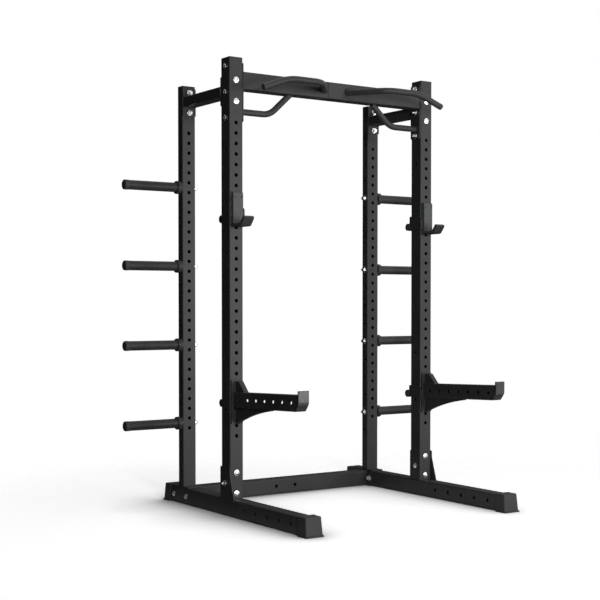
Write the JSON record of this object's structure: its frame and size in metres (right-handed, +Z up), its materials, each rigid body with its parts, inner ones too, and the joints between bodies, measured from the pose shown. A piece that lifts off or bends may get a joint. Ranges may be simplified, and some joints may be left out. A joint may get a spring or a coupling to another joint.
{
  "type": "half rack",
  "caption": "Free-standing black steel half rack with a pull-up beam, J-cups, spotter arms and plate storage pegs.",
  "frame": {"origin": "on the floor at the centre of the footprint; the front faces of the front uprights stand at y = 0", "axes": "+Z up, -Y towards the front where the spotter arms reach out, +X to the right seen from the front"},
  "size_m": [1.8852, 1.336, 2.2],
  "materials": {
    "frame_powder_coat": "satin black powder coat",
    "black_plastic": "matte",
    "wear_plastic": "fine grained",
    "foot_rubber": "matte",
    "zinc_fasteners": "bright zinc"
  },
  "bodies": {
    "frame": {"upright_front_left": "frame_powder_coat", "upright_rear_left": "frame_powder_coat", "upright_cap_front_left": "black_plastic", "upright_cap_rear_left": "black_plastic", "base_rail_left": "frame_powder_coat", "foot_front_left": "foot_rubber", "foot_rear_left": "foot_rubber", "base_bolt_left_front_lower": "zinc_fasteners", "base_bolt_left_front_upper": "zinc_fasteners", "base_bolt_left_side": "zinc_fasteners", "side_crossmember_left": "frame_powder_coat", "lower_grip_left": "frame_powder_coat", "upper_grip_left": "frame_powder_coat", "upper_grip_cap_left": "black_plastic", "storage_peg_left_1": "frame_powder_coat", "storage_peg_cap_left_1": "black_plastic", "storage_peg_left_2": "frame_powder_coat", "storage_peg_cap_left_2": "black_plastic", "storage_peg_left_3": "frame_powder_coat", "storage_peg_cap_left_3": "black_plastic", "storage_peg_left_4": "frame_powder_coat", "storage_peg_cap_left_4": "black_plastic", "upright_front_right": "frame_powder_coat", "upright_rear_right": "frame_powder_coat", "upright_cap_front_right": "black_plastic", "upright_cap_rear_right": "black_plastic", "base_rail_right": "frame_powder_coat", "foot_front_right": "foot_rubber", "foot_rear_right": "foot_rubber", "base_bolt_right_front_lower": "zinc_fasteners", "base_bolt_right_front_upper": "zinc_fasteners", "base_bolt_right_side": "zinc_fasteners", "side_crossmember_right": "frame_powder_coat", "lower_grip_right": "frame_powder_coat", "upper_grip_right": "frame_powder_coat", "upper_grip_cap_right": "black_plastic", "storage_peg_right_1": "frame_powder_coat", "storage_peg_cap_right_1": "black_plastic", "storage_peg_right_2": "frame_powder_coat", "storage_peg_cap_right_2": "black_plastic", "storage_peg_right_3": "frame_powder_coat", "storage_peg_cap_right_3": "black_plastic", "storage_peg_right_4": "frame_powder_coat", "storage_peg_cap_right_4": "black_plastic", "rear_crossmember": "frame_powder_coat", "pull_up_beam": "frame_powder_coat", "badge_plate": "frame_powder_coat"},
    "left_jcup_body": {"jcup_left": "frame_powder_coat", "jcup_liner_left": "wear_plastic", "jcup_roller_left": "black_plastic"},
    "left_arm_body": {"spotter_arm_left": "frame_powder_coat", "spotter_arm_end_left": "wear_plastic", "spotter_arm_roller_left": "black_plastic"},
    "right_jcup_body": {"jcup_right": "frame_powder_coat", "jcup_liner_right": "wear_plastic", "jcup_roller_right": "black_plastic"},
    "right_arm_body": {"spotter_arm_right": "frame_powder_coat", "spotter_arm_end_right": "wear_plastic", "spotter_arm_roller_right": "black_plastic"}
  },
  "joints": [
    {"name": "left_jcup_swing", "type": "hinge", "parent": "frame", "child": "left_jcup_body", "pos_m": [-0.5875, 0, 1.538], "axis": [0, -1, 0], "range_deg": [0, 90]},
    {"name": "left_arm_swing", "type": "hinge", "parent": "frame", "child": "left_arm_body", "pos_m": [-0.5875, 0, 0.638], "axis": [0, -1, 0], "range_deg": [0, 90]},
    {"name": "right_jcup_swing", "type": "hinge", "parent": "frame", "child": "right_jcup_body", "pos_m": [0.5875, 0, 1.538], "axis": [0, 1, 0], "range_deg": [0, 90]},
    {"name": "right_arm_swing", "type": "hinge", "parent": "frame", "child": "right_arm_body", "pos_m": [0.5875, 0, 0.638], "axis": [0, 1, 0], "range_deg": [0, 90]}
  ]
}
